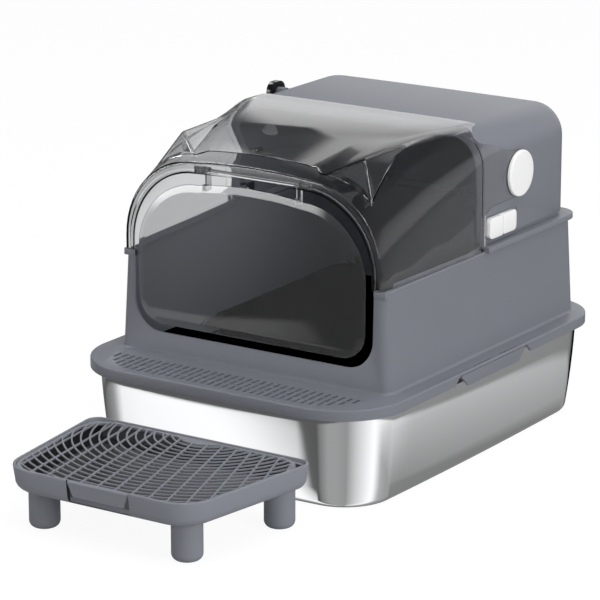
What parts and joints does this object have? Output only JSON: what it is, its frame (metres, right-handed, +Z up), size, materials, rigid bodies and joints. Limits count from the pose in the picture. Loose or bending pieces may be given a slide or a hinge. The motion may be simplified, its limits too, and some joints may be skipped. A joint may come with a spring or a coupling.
{
  "type": "enclosed litter box",
  "caption": "Enclosed cat litter box: steel pan, moulded enclosure, rear hood, flip-up clear cover with swing door, side latches, hanging scoop and separate litter-catching step.",
  "frame": {"origin": "centre of the pan's underside, on the floor", "axes": "+X to the right seen from the doorway, +Y to the back, +Z up"},
  "size_m": [0.425, 0.787, 0.392],
  "materials": {
    "steel": "satin stainless sheet",
    "grey": "fine satin moulding",
    "clear": "smoke tinted clear moulding",
    "white": "gloss moulding",
    "black": "satin moulding",
    "pin_steel": "drawn wire"
  },
  "bodies": {
    "base": {"pan": "steel", "base_frame": "grey", "rear_hood": "grey", "pivot_cap_left": "white", "pivot_cap_right": "white", "pivot_nut_left": "white", "pivot_nut_right": "white", "clip_pin_left": "pin_steel", "clip_pin_right": "pin_steel", "scoop_hook": "grey"},
    "cover": {"flip_cover": "clear", "door_hinge_pin": "pin_steel"},
    "door": {"door_flap": "clear"},
    "latch_left": {"hood_latch_left": "white", "latch_plate_left": "pin_steel"},
    "latch_right": {"hood_latch_right": "white", "latch_plate_right": "pin_steel"},
    "clip_left": {"side_clip_left": "grey"},
    "clip_right": {"side_clip_right": "grey"},
    "scoop": {"litter_scoop": "black"},
    "step": {"step_tray": "grey", "step_leg_front_left": "grey", "step_leg_front_right": "grey", "step_leg_back_left": "grey", "step_leg_back_right": "grey"},
    "grid": {"step_grid": "grey"}
  },
  "joints": [
    {"name": "cover_flip", "type": "hinge", "parent": "base", "child": "cover", "pos_m": [0, 0.0997, 0.325], "axis": [-1, 0, 0], "range_deg": [0, 70]},
    {"name": "door_swing", "type": "hinge", "parent": "cover", "child": "door", "pos_m": [0, -0.19075, 0.354], "axis": [1, 0, 0], "range_deg": [-32, 78]},
    {"name": "latch_left_slide", "type": "slide", "parent": "base", "child": "latch_left", "axis": [0, 1, 0], "range_m": [0, 0.008]},
    {"name": "latch_right_slide", "type": "slide", "parent": "base", "child": "latch_right", "axis": [0, 1, 0], "range_m": [0, 0.008]},
    {"name": "clip_left_swing", "type": "hinge", "parent": "base", "child": "clip_left", "pos_m": [-0.2081, 0.001, 0.1198], "axis": [0, 1, 0], "range_deg": [0, 75]},
    {"name": "clip_right_swing", "type": "hinge", "parent": "base", "child": "clip_right", "pos_m": [0.2081, 0.001, 0.1198], "axis": [0, -1, 0], "range_deg": [0, 75]},
    {"name": "scoop_lift_off", "type": "slide", "parent": "base", "child": "scoop", "axis": [-1, 0, 0], "range_m": [0, 0.08]},
    {"name": "step_slide", "type": "slide", "parent": "base", "child": "step", "axis": [0, -1, 0], "range_m": [0, 0.1]},
    {"name": "grid_lift", "type": "slide", "parent": "step", "child": "grid", "axis": [0, 0, 1], "range_m": [0, 0.06]}
  ]
}
